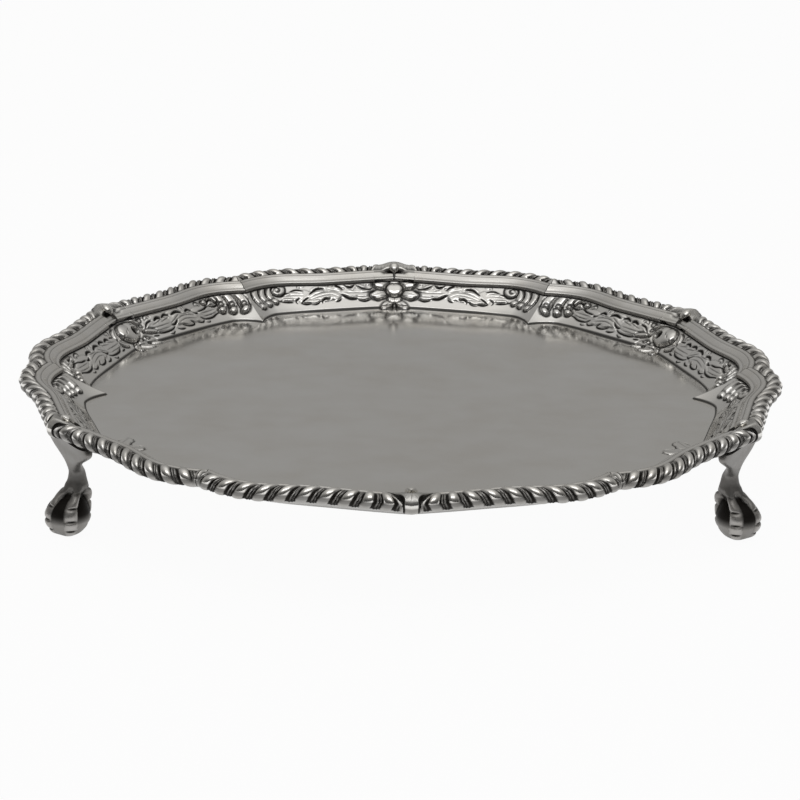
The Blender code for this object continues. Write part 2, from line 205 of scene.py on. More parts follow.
def curve_through(points, steps=10):
    """Points on a smooth curve through the given ones."""
    points = np.asarray(points, float)
    if len(points) == 2:
        return points[0] + np.linspace(0, 1, steps)[:, None] * (points[1] - points[0])
    padded = np.vstack([2 * points[0] - points[1], points, 2 * points[-1] - points[-2]])
    found = []
    for i in range(len(points) - 1):
        a, b, c, d = padded[i : i + 4]
        t = np.linspace(0, 1, steps, endpoint=False)[:, None]
        found.append(
            0.5 * (2 * b + (c - a) * t + (2 * a - 5 * b + 4 * c - d) * t**2
                   + (3 * b - a - 3 * c + d) * t**3)
        )
    return np.vstack(found + [points[-1:]])


# ---------------- relief


class Relief:
    """A height field in millimetres over a grid of points, with the oxide in its recesses."""

    def __init__(self, x, y):
        self.x, self.y = x, y
        self.height = np.zeros_like(x)
        self.dark = np.zeros_like(x)

    def near(self, points, reach):
        low, high = points.min(0) - reach, points.max(0) + reach
        inside = (self.x > low[0]) & (self.x < high[0]) & (self.y > low[1]) & (self.y < high[1])
        return np.nonzero(inside)

    def along(self, points, reach):
        """The grid points near a line, with their distance, side and share along it."""
        line = curve_through(points)
        chosen = self.near(line, reach)
        x, y = self.x[chosen], self.y[chosen]
        best = np.full(x.shape, 1e9)
        share = np.zeros_like(best)
        side = np.zeros_like(best)
        lengths = np.hypot(*np.diff(line, axis=0).T)
        ends = np.concatenate([[0], np.cumsum(lengths)])
        for i, length in enumerate(lengths):
            (ax, ay), (bx, by) = line[i], line[i + 1]
            ux, uy = (bx - ax) / length, (by - ay) / length
            t = np.clip((x - ax) * ux + (y - ay) * uy, 0, length)
            away = np.hypot(x - ax - t * ux, y - ay - t * uy)
            closer = away < best
            best = np.where(closer, away, best)
            share = np.where(closer, (ends[i] + t) / ends[-1], share)
            side = np.where(closer, np.sign(ux * (y - ay) - uy * (x - ax)), side)
        return chosen, best, side, share

    def put(self, chosen, edge, height, outline=0.45, ring=0.34):
        """Lays a shape over what is there. edge is the distance inside the shape's outline."""
        mask = smooth(edge, -0.08, 0.2)
        moat = np.exp(-(((edge + 0.16) / ring) ** 2)) * (1 - mask)
        base = self.height[chosen]
        self.height[chosen] = base * (1 - mask) + height * mask - outline * moat
        self.dark[chosen] = np.maximum(self.dark[chosen] * (1 - mask), moat * min(1, 2.4 * outline))

    def dome(self, x, y, width, height, rise, turn=0.0, power=0.5, outline=0.45, floor=0.0):
        """An oval boss: half sizes in the plane, and how far it rises."""
        reach = max(width, height) + 1.2
        chosen = self.near(np.array([[x, y]]), reach)
        dx, dy = self.x[chosen] - x, self.y[chosen] - y
        c, s = math.cos(turn), math.sin(turn)
        u, v = (c * dx + s * dy) / width, (c * dy - s * dx) / height
        away = np.hypot(u, v)
        edge = (1 - away) * min(width, height)
        top = floor + rise * np.clip(1 - away**2, 0, 1) ** power
        self.put(chosen, edge, top, outline)

    def blade(self, points, half_width, rise, veins=0, outline=0.42, sharp=0.0, lobes=0, floor=0.1):
        """A leaf or flute along a line: fullest in its middle, round in section, pointed or not."""
        chosen, away, side, share = self.along(points, half_width + 1.0)
        width = half_width * (np.clip(4 * share * (1 - share), 0, 1) ** (0.35 + sharp))
        if lobes:
            width = width * (1 + 0.22 * np.abs(np.sin(np.pi * lobes * share)) - 0.11)
        width = np.maximum(width, 0.05)
        across = np.clip(away / width, 0, 1)
        top = floor + rise * np.sqrt(1 - 0.92 * across**2)
        if veins:
            wave = np.sin(2 * np.pi * veins * (share - 0.075 * away))
            top = top - 0.3 * rise * np.exp(-((away / 0.16) ** 2))
            top = top - 0.1 * rise * np.clip(wave, 0, 1) * smooth(across, 0.1, 0.5)
        self.put(chosen, width - away, top, outline)
        if veins:
            line = np.exp(-((away / 0.15) ** 2)) * smooth(width - away, 0.1, 0.4)
            self.dark[chosen] = np.maximum(self.dark[chosen], 0.55 * line)

    def groove(self, points, width, depth, strength=1.0, lip=0):
        """An engraved line that thins at its ends, with a raised lip above (1) or below it (-1)."""
        chosen, away, side, share = self.along(points, width + 1.4)
        taper = np.clip(4 * share * (1 - share), 0, 1) ** 0.5
        cut = np.exp(-((away / (width * (0.35 + 0.65 * taper))) ** 4)) * (0.3 + 0.7 * taper)
        self.height[chosen] -= depth * cut
        if lip:
            above = side * math.copysign(1, points[-1][0] - points[0][0]) * lip > 0
            ridge = np.exp(-(((away - 2 * width) / (1.3 * width)) ** 2)) * taper
            self.height[chosen] += 0.5 * depth * ridge * above
        self.dark[chosen] = np.maximum(self.dark[chosen], np.clip(strength * cut, 0, 1))

    def oval(self, x, y, half_length, half_width, rise, turn=0):
        """The low oval dome under a form, as the solid has it. The turn is in degrees."""
        c, s = math.cos(turn * DEG), math.sin(turn * DEG)
        dx, dy = self.x - x, self.y - y
        away = np.hypot((c * dx + s * dy) / half_length, (c * dy - s * dx) / half_width)
        self.height = np.maximum(self.height, rise * np.sqrt(np.clip(1 - away**2, 0, 1)))

    def curl(self, x, y, hand=1):
        """The small C-shaped curls that stand above the leaves."""
        turns = np.linspace(-0.15, 1.25, 7) * math.pi
        ring = np.stack([x + hand * 1.45 * np.cos(turns), y + 0.85 * np.sin(turns)], -1)
        self.groove(ring, 0.3, 0.4)
        self.groove([(x + hand * 0.7, y - 0.55), (x + hand * 0.25, y + 0.1)], 0.28, 0.3, 0.9)
        self.dome(x - hand * 0.25, y + 0.1, 0.65, 0.4, 0.3, outline=0)


# The plain domes of the solid: place along the border and out from START, half length,
# half width, rise and turn
LEAF_OVALS = (
    (14.3, 9.7, 7.4, 2.2, 0.65, -3), (15.6, 12.0, 5.6, 1.3, 0.45, 4),
    (28.6, 9.3, 8.8, 2.4, 0.65, -2), (26.6, 11.4, 6.2, 1.3, 0.45, 0),
    (38.9, 11.0, 5.9, 2.0, 0.55, 3),
)

# The chaser's strokes round the leaves: the line, its half width and the side of its lip
FLOWER_STROKES = (
    (((8.2, 12.5), (9.6, 11.7), (12.2, 11.6), (14.6, 12.5)), 0.30, -1),
    (((15.2, 12.8), (16.6, 11.7), (17.8, 11.7), (19.6, 12.3)), 0.30, -1),
    (((20.0, 10.7), (21.2, 11.6), (23.2, 12.0)), 0.34, -1),
    (((9.2, 8.1), (11.8, 7.2), (14.4, 7.4)), 0.30, 1),
    (((14.6, 7.8), (17.8, 7.8), (21.0, 9.2)), 0.38, 1),
    (((27.4, 11.1), (30.6, 11.4), (33.6, 10.2)), 0.36, -1),
    (((21.0, 7.9), (22.0, 7.1), (23.6, 6.7)), 0.30, 1),
    (((25.6, 7.6), (27.6, 7.8), (28.8, 7.2), (29.0, 6.4)), 0.28, 1),
    (((29.6, 7.2), (31.4, 6.4), (33.6, 6.6)), 0.26, 1),
    (((33.2, 6.9), (35.6, 7.0), (37.6, 7.8)), 0.32, 1),
    (((34.0, 9.3), (35.8, 8.6), (37.6, 7.8)), 0.30, -1),
    (((35.4, 12.0), (38.2, 13.0), (40.6, 12.9)), 0.32, -1),
    (((40.8, 12.6), (42.6, 12.5), (44.4, 12.0)), 0.28, -1),
    (((40.2, 8.7), (42.8, 9.2), (45.4, 9.9)), 0.36, 1),
    (((37.4, 9.8), (39.2, 8.9), (38.8, 7.8)), 0.26, -1),
)
FLOWER_VEINS = (
    ((9.0, 10.4), (14.0, 9.9), (19.8, 9.7)), ((9.4, 9.2), (13.6, 8.6), (18.6, 8.7)),
    ((14.6, 12.2), (13.4, 11.2), (11.0, 10.7)), ((19.2, 12.0), (17.6, 10.9), (15.0, 10.4)),
    ((20.8, 9.3), (24.0, 10.0), (29.0, 9.8), (34.0, 9.0)),
    ((21.8, 8.3), (25.0, 9.1), (29.6, 8.8), (35.6, 7.9)),
    ((26.6, 10.9), (24.6, 10.6), (21.6, 10.1)), ((32.8, 10.6), (30.0, 10.6), (26.0, 10.4)),
    ((28.6, 7.5), (30.8, 8.0), (32.6, 7.9)),
    ((35.6, 10.4), (39.6, 11.2), (44.2, 11.5)), ((38.4, 10.0), (41.6, 10.5), (44.8, 10.8)),
    ((40.4, 12.6), (38.6, 12.0), (36.4, 11.2)),
)
FRUIT_STROKES = (
    (((8.6, 10.0), (10.6, 11.2), (13.2, 11.3)), 0.26, -1),
    (((14.0, 10.8), (15.8, 11.3), (17.6, 10.7)), 0.36, -1),
    (((18.0, 10.8), (20.0, 11.3), (22.0, 10.7)), 0.32, -1),
    (((22.8, 10.6), (25.4, 11.0), (28.0, 10.3)), 0.34, -1),
    (((29.6, 10.5), (31.4, 11.2), (33.2, 10.8)), 0.36, -1),
    (((35.6, 10.2), (39.0, 11.0), (41.4, 12.2), (43.2, 12.0)), 0.30, -1),
    (((9.4, 6.8), (10.8, 6.4), (12.2, 6.2)), 0.26, 1),
    (((11.4, 7.7), (13.6, 6.6), (16.6, 6.2), (19.6, 6.3), (21.8, 7.0)), 0.32, 1),
    (((17.2, 5.2), (18.6, 4.8), (20.2, 5.5)), 0.24, 1),
    (((20.4, 7.7), (22.2, 7.6), (24.4, 8.7)), 0.30, -1),
    (((22.0, 6.0), (23.8, 5.3), (25.8, 5.3)), 0.28, 1),
    (((25.2, 6.8), (27.6, 5.8), (30.2, 5.8), (31.0, 6.5), (29.6, 7.3)), 0.30, 1),
    (((32.8, 6.5), (35.2, 6.2), (36.6, 7.1)), 0.28, 1),
    (((33.2, 10.0), (34.4, 9.6), (35.6, 9.9)), 0.30, -1),
    (((35.2, 8.1), (37.6, 7.4), (41.0, 7.7), (43.6, 8.8), (45.8, 9.4)), 0.34, 1),
    (((36.8, 6.2), (38.2, 5.9), (39.2, 6.5)), 0.22, 1),
)
FRUIT_VEINS = (
    ((9.6, 9.2), (14.6, 8.6), (20.2, 8.4)), ((9.8, 8.2), (13.0, 7.6), (18.6, 7.3)),
    ((17.4, 10.6), (15.6, 10.1), (12.0, 9.8)), ((21.8, 10.5), (19.8, 10.0), (16.6, 9.6)),
    ((20.6, 8.2), (23.0, 8.9), (26.0, 10.0)), ((24.6, 7.6), (28.4, 8.2), (33.8, 7.8)),
    ((24.0, 8.6), (28.6, 9.4), (33.8, 9.0)), ((32.8, 10.6), (30.8, 10.1), (27.4, 9.8)),
    ((36.6, 9.4), (40.2, 10.0), (44.2, 10.8)), ((37.4, 8.4), (41.0, 8.9), (44.4, 9.8)),
)

VEIN = (0.18, 0.15, 0.75)  # half width, depth and oxide
STROKE_CUT = (0.45, 1.5)  # depth and oxide
STROKE_SPREAD = 1.18  # how much wider a stroke opens than its line above
FRUIT_LEAF_DROP = 0.4  # how much nearer the centre the plain domes lie beside a fruit
CURLS_TO_HOLE = ((10.3, 13.2), (25.2, 12.2), (36.0, 13.6))
CURLS_TO_PLAIN = ((10.5, 13.3), (27.0, 12.2), (37.0, 13.6))
FRUIT_CURLS = ((12.0, 12.6), (28.8, 11.9), (37.4, 12.9))


def leaf_chain(relief, place, drop, strokes, veins, curls):
    """The three acanthus leaves between a knuckle's flower or fruit and the next fan.

    place turns a distance from the knuckle into x on the plane. drop lowers the plain domes.
    """
    hand = 1 if place(1) > place(0) else -1
    for x, y, half_length, half_width, rise, turn in LEAF_OVALS:
        relief.oval(place(x), y - drop, half_length, half_width, rise, turn * hand)
    for line in veins:
        relief.groove([(place(x), y) for x, y in line], *VEIN)
    for line, width, lip in strokes:
        relief.groove([(place(x), y) for x, y in line], STROKE_SPREAD * width, *STROKE_CUT, lip)
    for x, y in curls:
        relief.curl(place(x), y, hand)


def flower_end(relief, long_leaves):
    """Half a flower with the leaves that hang from it over the well's edge."""
    if long_leaves:
        relief.blade([(0.8, 6.0), (2.4, 1.5), (6.4, -2.8)], 2.5, 0.3, 5, outline=0.6, lobes=3)
    relief.blade([(0.7, 8.4), (2.6, 6.4), (5.2, 4.0)], 1.7, 0.6, 4, 0.6, 0.05, floor=0.3)
    relief.groove([(0.3, 7.6), (1.2, 5.9), (3.4, 3.9)], 0.26, 0.3)
    relief.dome(6.0, 10.2, 3.4, 1.7, 0.85, -0.22, outline=0.5)
    relief.groove([(2.8, 10.9), (5.4, 10.6), (8.4, 9.6)], 0.16, 0.16, 0.5)
    relief.groove([(3.4, 9.9), (5.6, 9.4), (7.8, 8.9)], 0.14, 0.12, 0.4)
    relief.groove([(5.4, 8.0), (7.2, 8.1), (8.8, 9.2)], 0.42, 0.5)
    relief.groove([(7.0, 11.9), (8.2, 11.0), (9.0, 10.3)], 0.36, 0.5)
    relief.dome(4.9, 13.8, 3.1, 1.7, 1.1, -0.15, outline=0.55)
    relief.groove([(2.4, 13.3), (4.4, 13.8), (6.6, 13.9)], 0.13, 0.1, 0.35)
    relief.groove([(7.2, 15.6), (8.2, 14.2), (7.6, 12.8)], 0.45, 0.55)
    relief.dome(0, 9.0, 2.7, 1.4, 0.75, outline=0.5)
    for x in (0.0, 0.9, 1.8):
        relief.groove([(x * 0.6, 9.9), (x, 7.8)], 0.13, 0.14, 0.5)
    relief.dome(0, 12.2, 3.15, 2.3, 1.45, outline=0.8, floor=0.35, power=0.4)
    relief.groove([(0.9, 6.6), (0.4, 5.6), (0.9, 4.8)], 0.2, 0.25)


FRUIT = (SPAN, 11.4, 5.3, 3.5, 2.3)  # place, half sizes and rise
HOLE = (SPAN - 1.9, 10.8)
HOLE_RADIUS = 1.5
LOW_LEAF = {"veins": 1, "sharp": 0.1, "floor": 0.12}


def fruit_end(relief, drilled):
    """Half a round fruit. The drilled half has its hole, calyx and the leaves below it."""

    def at(*points):
        return [(SPAN - x, y) for x, y in points]

    if drilled:
        relief.blade(at((1.0, 7.8), (2.6, 5.2), (4.6, 2.4)), 1.9, 0.4, outline=0.8, **LOW_LEAF)
        relief.blade(at((4.6, 7.8), (7.2, 5.8), (9.8, 3.4)), 1.3, 0.32, outline=0.7, **LOW_LEAF)
        relief.blade(at((7.0, 9.6), (9.4, 8.8), (12.4, 7.7)), 0.7, 0.55, outline=0.35)
        calyx = at((0.4, 15.3), (4.6, 14.7), (6.9, 12.4), (6.9, 9.4))
        relief.blade(calyx, 0.7, 0.55, outline=0.5)
        for x, y in ((6.4, 7.3), (3.2, 7.7), (8.8, 12.9), (7.2, 14.0), (7.6, 11.4)):
            relief.dome(SPAN - x, y, 0.6, 0.45, -0.4, outline=0.5)
    else:
        relief.blade(at((0.4, 7.6), (1.8, 5.2), (3.6, 2.8)), 1.5, 0.4, outline=0.7, **LOW_LEAF)
        relief.blade(at((6.2, 13.4), (8.2, 12.0), (9.6, 10.2)), 0.9, 0.55, 2, outline=0.5)
        relief.blade(at((5.0, 7.6), (7.4, 8.0), (9.6, 9.4)), 0.8, 0.5, outline=0.5)
        relief.groove(at((0.6, 7.2), (1.6, 6.8), (2.6, 7.3)), 0.34, 0.4)
    relief.dome(*FRUIT, outline=0.8)
    if drilled:
        away = np.hypot(relief.x - HOLE[0], relief.y - HOLE[1])
        relief.height -= HOLE_RADIUS * np.clip(1 - (away / HOLE_RADIUS) ** 2, 0, 1) ** 0.4
        relief.dark = np.maximum(relief.dark, smooth(-away, -HOLE_RADIUS - 0.05, -HOLE_RADIUS + 0.35))
        relief.groove(at((2.0, 13.2), (3.2, 13.0)), 0.22, 0.2, 0.9)
    else:
        for x, y in ((0.9, 12.0), (2.4, 11.2), (4.6, 10.0)):
            relief.groove(at((x - 0.5, y + 0.6), (x + 0.5, y - 0.6)), 0.2, 0.25, 0.9)


FLUTE_CUT = (0.36, 0.7, 1.3)  # the grooves between two flutes: half width, depth and oxide
FLUTE_LINE = (0.12, 0.12, 0.35)  # the fine line along a flute
FLOWER_FLUTES = (
    ((45.8, 16.4), (48.4, 14.6), (49.0, 12.0), (47.5, 9.9)),
    ((49.6, 16.2), (51.6, 13.6), (51.9, 11.4), (50.4, 9.0)),
    ((53.0, 15.6), (54.9, 12.6), (54.9, 10.2), (53.6, 7.4)),
)
FLOWER_GROOVES = (
    ((47.6, 16.6), (50.0, 14.2), (50.5, 11.8), (49.2, 9.6)),
    ((51.4, 16.2), (53.2, 13.3), (53.4, 10.8), (51.9, 8.6)),
    ((54.7, 15.2), (56.6, 12.2), (56.6, 9.2), (54.9, 6.5)),
)
FLOWER_BEADS = ((47.3, 9.9), (50.2, 9.0), (53.5, 7.4))
FLOWER_HOOKS = (
    ((45.8, 9.8), (47.0, 8.6), (48.6, 9.2)),
    ((48.8, 8.8), (50.2, 7.7), (51.8, 8.0)),
    ((52.0, 7.6), (53.4, 6.1), (55.2, 6.4)),
)
VOLUTE = (  # the spiral's line from its outer end to its middle
    (43.6, 16.6), (41.9, 15.2), (42.1, 13.2), (44.0, 11.9), (46.4, 12.2), (47.6, 13.8),
    (46.7, 15.3), (44.9, 15.3), (44.1, 14.2), (45.0, 13.4), (45.9, 13.9),
)


def flower_fan(relief):
    """The fluted fan and its scroll on the flower's side of a cusp."""
    relief.oval(45.2, 14.0, 3.6, 2.7, 0.75)
    for path, (x, y) in zip(FLOWER_FLUTES, FLOWER_BEADS):
        relief.blade(path, 1.35, 0.9, outline=0.3, sharp=-0.25)
        relief.dome(x, y, 1.25, 1.0, 0.55, outline=0.3, floor=0.45)
    for path in FLOWER_GROOVES:
        relief.groove(path, *FLUTE_CUT)
    for path in FLOWER_FLUTES:
        relief.groove([(x + 0.55, y) for x, y in path[:3]], *FLUTE_LINE)
    relief.groove(VOLUTE, 0.42, 0.8, 1.3)
    for path in FLOWER_HOOKS:
        relief.groove(path, 0.32, 0.5, 1.2)
    relief.groove(((44.2, 10.6), (45.2, 9.9), (46.2, 10.8)), 0.4, 0.5)


FRUIT_FLUTES = (
    ((62.6, 15.2), (61.2, 11.6), (61.0, 8.8), (61.9, 6.6)),
    ((66.6, 15.8), (65.4, 12.8), (65.2, 10.4), (66.2, 8.3)),
    ((70.2, 16.0), (69.0, 13.6), (69.0, 11.6), (70.2, 9.6)),
)
FRUIT_GROOVES = (
    ((60.8, 14.4), (59.3, 10.6), (59.2, 7.2), (60.6, 5.1)),
    ((64.9, 15.4), (63.5, 11.8), (63.0, 9.4), (63.5, 7.2)),
    ((68.6, 15.8), (67.3, 12.6), (67.0, 10.6), (67.9, 8.9)),
    ((71.0, 15.2), (70.5, 13.6), (71.2, 12.4), (73.4, 11.9), (76.2, 12.4)),
)
FRUIT_BEADS = ((61.9, 6.9, 1.6), (66.2, 8.6, 1.5), (70.3, 9.8, 1.4))  # place and size


def fruit_fan(relief):
    """The fan on the fruit's side, whose flutes end in beads."""
    relief.oval(73.9, 14.2, 3.0, 1.7, 0.75)
    relief.blade(((71.2, 13.2), (71.9, 15.1), (74.4, 15.3), (76.6, 13.8)), 1.1, 0.9, outline=0.6)
    for path, (x, y, size) in zip(FRUIT_FLUTES, FRUIT_BEADS):
        relief.blade(path, 1.5, 0.9, outline=0.3, sharp=-0.25)
        relief.groove([(px - 0.5, py) for px, py in path[:3]], *FLUTE_LINE)
        relief.dome(x - 0.5, y + 2.0, 0.85, 0.6, 0.45, outline=0.5, floor=0.45)
        relief.dome(x, y, size, size * 0.8, 0.95, outline=0.75, floor=0.3)
    for path in FRUIT_GROOVES:
        relief.groove(path, *FLUTE_CUT)
    relief.dome(76.2, 13.6, 1.1, 0.75, 0.7, outline=0.5)
    relief.groove(((72.6, 13.5), (73.6, 14.2), (75.0, 13.8)), 0.34, 0.5, 1.2)


def border_relief(x, y, drilled, long_leaves):
    """The chasing of one span of sixty degrees, from a flower to a fruit."""
    relief = Relief(x, y)
    curls = CURLS_TO_HOLE if drilled else CURLS_TO_PLAIN
    leaf_chain(relief, lambda away: away, 0, FLOWER_STROKES, FLOWER_VEINS, curls)
    from_fruit = (FRUIT_LEAF_DROP, FRUIT_STROKES, FRUIT_VEINS, FRUIT_CURLS)
    leaf_chain(relief, lambda away: SPAN - away, *from_fruit)
    flower_fan(relief)
    fruit_fan(relief)
    flower_end(relief, long_leaves)
    fruit_end(relief, drilled)
    return relief


# ---------------- plate

COLUMNS = 432  # over one span of 60 degrees
UNDERSIDE_COLUMN = 6  # the underside has every sixth column
INNER_ROWS = np.concatenate([np.linspace(-11.8, -0.2, 34), np.linspace(0.1, 1.3, 11)])
BAND_ROWS = 46
CUT_LIMIT = 0.36  # how deep the chasing goes at most, so that it stays in the sheet
EDGE_OUT = 1.3  # from the well's outline to the top of the step at its edge
FIRST_FLOWER = 90  # degrees
KINDS = ((True, False), (False, True), (True, True))  # a hole in the fruit, long leaves
# The stretches of the border: from and to in degrees, and the kind of relief there
STRETCHES = ((30, 150, 0), (150, 270, 1), (270, 330, 2), (330, 360, 1), (0, 30, 1))
WELL_UNDERSIDE = ((1.2, 0.35), (0.5, 0.2), (-0.6, 0.08), (-1.6, 0))  # out from the well, and up


def band_shape(along):
    """The band's height as a share of its drop, at a share of the way out from the well."""
    return along - BAND_HOLLOW * along * (1 - along)


def band_profile(angle, row):
    """Radius and height of the plain surface, and its normal's outward and upward shares."""
    well = well_radius(angle)
    top = radius_inside(angle, MOULDING_WIDTH + FIT_GAP)
    share = np.clip(row - EDGE_OUT, 0, 1)
    on_band = well + EDGE_OUT + (top - well - EDGE_OUT) * share
    radius = np.where(row < EDGE_OUT, well + row, on_band)
    along = np.clip((radius - well) / (top - well), 0, 1)
    rise = BAND_DROP * band_shape(along) + 0.06 * np.exp(-((row - EDGE_OUT) / 0.1) ** 2)
    height = WELL_Z + rise * smooth(row, EDGE_OUT - 0.5, EDGE_OUT)
    slope = BAND_DROP * (1 - BAND_HOLLOW + 2 * BAND_HOLLOW * along) / (top - well)
    slope = slope * smooth(row, EDGE_OUT - 0.8, EDGE_OUT)
    return radius, height, -slope / np.hypot(1, slope), 1 / np.hypot(1, slope)


def blurred(field):
    """A field of heights softened over three grid points each way."""
    rows, columns = field.shape
    for _ in range(3):
        padded = np.pad(field, 1, mode="edge")
        field = sum(padded[i : i + rows, 1:-1] for i in range(3)) / 3
        padded = np.pad(field, 1, mode="edge")
        field = sum(padded[1:-1, i : i + columns] for i in range(3)) / 3
    return field


def chased(row, angle, radius, drilled, long_leaves):
    """How far one kind of relief lifts the surface along its normal, and its dark: oxide in the
    relief, a dark line along the well's edge, and painted shadow under the moulding's lip.
    """
    relief = border_relief(angle * PLANE_RADIUS, radius - START, drilled, long_leaves)
    cut = CUT_LIMIT * np.tanh(relief.height / CUT_LIMIT)
    lift = np.where(relief.height < 0, cut, relief.height)
    lift = lift * smooth(-row, -EDGE_OUT - 1, -EDGE_OUT - 0.93)
    hollow = np.clip((blurred(relief.height) - relief.height) * 5, 0, 0.7)
    edge_line = np.exp(-(((row - EDGE_OUT + 0.4) / 0.3) ** 4)) * (relief.height < 0.3)
    # Painted shadow: the band turns black where it runs in under the moulding's lip.
    painted_lip_shadow = smooth(row, EDGE_OUT + 0.97, EDGE_OUT + 1)
    dark = np.maximum(relief.dark, hollow)
    return lift, np.maximum(np.maximum(dark, 0.92 * edge_line), painted_lip_shadow)


def plate_top(rows):
    """The points of the plate's upper face, ring by ring from the well outwards, and the oxide."""
    span = np.arange(COLUMNS + 1) * (60 * DEG / COLUMNS)
    row, from_end = np.meshgrid(rows, span, indexing="ij")
    knuckle = np.minimum(from_end, 60 * DEG - from_end)
    radius, height, out, up = band_profile(knuckle, row)
    fields = [chased(row, from_end, radius, *kind) for kind in KINDS]
    columns = 6 * COLUMNS
    index = np.arange(columns)
    angle = index * (360 * DEG / columns)
    degrees = index * (360 / columns)
    past_flower = np.mod(index - FIRST_FLOWER * columns // 360 + COLUMNS, 2 * COLUMNS)
    from_flower = np.abs(past_flower - COLUMNS)
    lift = np.zeros((len(rows), columns))
    dark = np.zeros_like(lift)
    for low, high, kind in STRETCHES:
        chosen = (degrees >= low) & (degrees < high)
        lift[:, chosen] = fields[kind][0][:, from_flower[chosen]]
        dark[:, chosen] = fields[kind][1][:, from_flower[chosen]]
    radius = radius[:, from_flower] + out[:, from_flower] * lift
    height = height[:, from_flower] + up[:, from_flower] * lift
    return polar(radius, angle, height), dark


def plate_underside(angle):
    """Rings over the flange under the moulding, round its edge and in under the well."""
    knuckle = from_knuckle(angle)
    well = well_radius(knuckle)
    band_top = radius_inside(knuckle, MOULDING_WIDTH + FIT_GAP)
    flange = radius_inside(knuckle, GADROON_ROOT + FIT_GAP)
    rings = [(band_top, FLANGE_Z - 0.02), (flange, FLANGE_Z)]
    rings += [(flange, FLANGE_Z - SHEET), (band_top, FLANGE_Z - SHEET)]
    for share in np.linspace(1, 0.2, 8)[1:]:
        level = WELL_Z - SHEET + BAND_DROP * band_shape(share)
        rings.append((well + (band_top - well) * share, level))
    for out, up in WELL_UNDERSIDE:
        rings.append((well + out, WELL_Z - SHEET + up))
    return np.stack([polar(radius, angle, height) for radius, height in rings])


def make_plate(material):
    rows = np.concatenate([INNER_ROWS, EDGE_OUT + np.linspace(0, 1, BAND_ROWS + 1)[1:]])
    top, dark = plate_top(rows)
    columns = top.shape[1]
    faces = [quad[::-1] for quad in grid_faces(len(rows), columns)]
    faces.append(list(range(columns)))

    under = plate_underside(np.arange(0, columns, UNDERSIDE_COLUMN) * (360 * DEG / columns))
    rings, sparse = under.shape[:2]
    start = len(rows) * columns
    faces += [quad[::-1] for quad in grid_faces(rings, sparse, start)]
    last = start + (rings - 1) * sparse
    faces.append(list(range(last, last + sparse))[::-1])

    points = np.vstack([top.reshape(-1, 3), under.reshape(-1, 3)])
    # The underside's rings are painted half black, as shade under the plate.
    shade = np.concatenate([dark.ravel(), np.full(rings * sparse, 0.5)])
    plate = add_mesh("plate_chased", points, faces, shade, material, 60 * DEG)
    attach(plate, "root")
    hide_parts("salver_plate")


# ---------------- rim

FIRST_LOBE = 6.5
LOBE_PITCH = 6.1
LOBES = 10
LEAN = 5.2  # how far a lobe's inner end lies nearer the knuckle than its foot
LOBE_SHARE = 0.27  # half a lobe's width, as a share of the pitch
RIBS = ((0.39, 0.035), (0.52, 0.055))  # places and half widths of the thin ribs beside a lobe
LOBE_DEPTH = 0.85  # how far the lobes stand over the ground between them
RIB_RISE = 0.5
RING_STEP = 0.25
CLEAR_LENGTH = 14  # over which a casting's rows even out behind the clasp's wider hood
GADROON_SKIN = 0.1  # how far the lobes' crests stay inside the solid
# In the oxide column, the 0.5 on the first row, at the lip's lower edge, is painted shade; the rest
# is oxide in the moulding's grooves.
MOULDING = (  # inset from the gadroons' centre line, height over it, oxide
    (7.7, -1.1, 0.5), (7.66, -0.86, 0.1), (7.45, -0.72, 0), (7.1, -0.6, 0), (6.75, -0.48, 0),
    (6.6, -0.5, 0.4), (6.45, -0.36, 0.2), (6.1, 0.0, 0), (5.6, 0.5, 0), (5.1, 0.92, 0),
    (4.7, 1.1, 0), (4.5, 1.0, 0.6), (4.3, 1.16, 0.15), (3.95, 1.4, 0), (3.55, 1.5, 0),
    (3.15, 1.4, 0), (2.85, 1.2, 0.4), (2.6, 1.15, 0.9),
)
GADROON_ARC = np.linspace(32, 300, 27) * DEG  # from level, over the top and round the outside


def rim_arc():
    """Angles from a knuckle, with the length along the gadroons' centre line to each."""
    angle = np.linspace(0, HALF_SIDE, 400)
    radius = rim_radius(angle)
    step = np.hypot(np.diff(radius), radius[1:] * np.diff(angle))
    return angle, np.concatenate([[0], np.cumsum(step)])


def gadroon(along, share):
    """How far the gadroons stand at a place along the rim and around them, and the oxide."""
    lean = LEAN * (1 - share) ** 1.6 - 0.3 * LEAN
    place = (along + lean - FIRST_LOBE) / LOBE_PITCH
    part = place - np.floor(place + LOBE_SHARE + 0.03)
    lobe = np.clip(1 - (part / LOBE_SHARE) ** 2, 0, 1)
    ribs = np.zeros_like(part)
    for centre, half in RIBS:
        ribs = np.maximum(ribs, np.clip(1 - ((part - centre) / half) ** 2, 0, 1))
    last = FIRST_LOBE + (LOBES - 1) * LOBE_PITCH
    inside = smooth(along, 2.6, 3.6) * smooth(-along, -last - 3.6, -last - 1.6)
    depth = LOBE_DEPTH * (1 - 0.55 * smooth(share, 0.5, 0.82))
    height = depth * (np.maximum(lobe**0.5, RIB_RISE * ribs**0.5) - 1)
    ground = 1 - smooth(lobe, 0.02, 0.3)
    dark = ground * (1 - 0.75 * smooth(ribs, 0.3, 0.9) * smooth(-share, -0.75, -0.35))
    return height * inside - 0.12 * (1 - inside), dark * inside


def row_angles(arc, along, half):
    """A row's angles from the knuckle, where it starts beside a clasp of that half width."""
    angles, lengths = arc
    first = along[0]
    later = np.maximum(half + FIT_GAP, first) - first
    place = along + np.maximum(0, later * (1 - (along - first) / CLEAR_LENGTH))
    return np.interp(place, lengths, angles)


def moulding_row(arc, along, half, inset, height, dark):
    angle = row_angles(arc, along, half)
    row = polar(radius_inside(angle, inset), angle, RIM_HEIGHT + height)
    return row, np.full_like(along, dark)


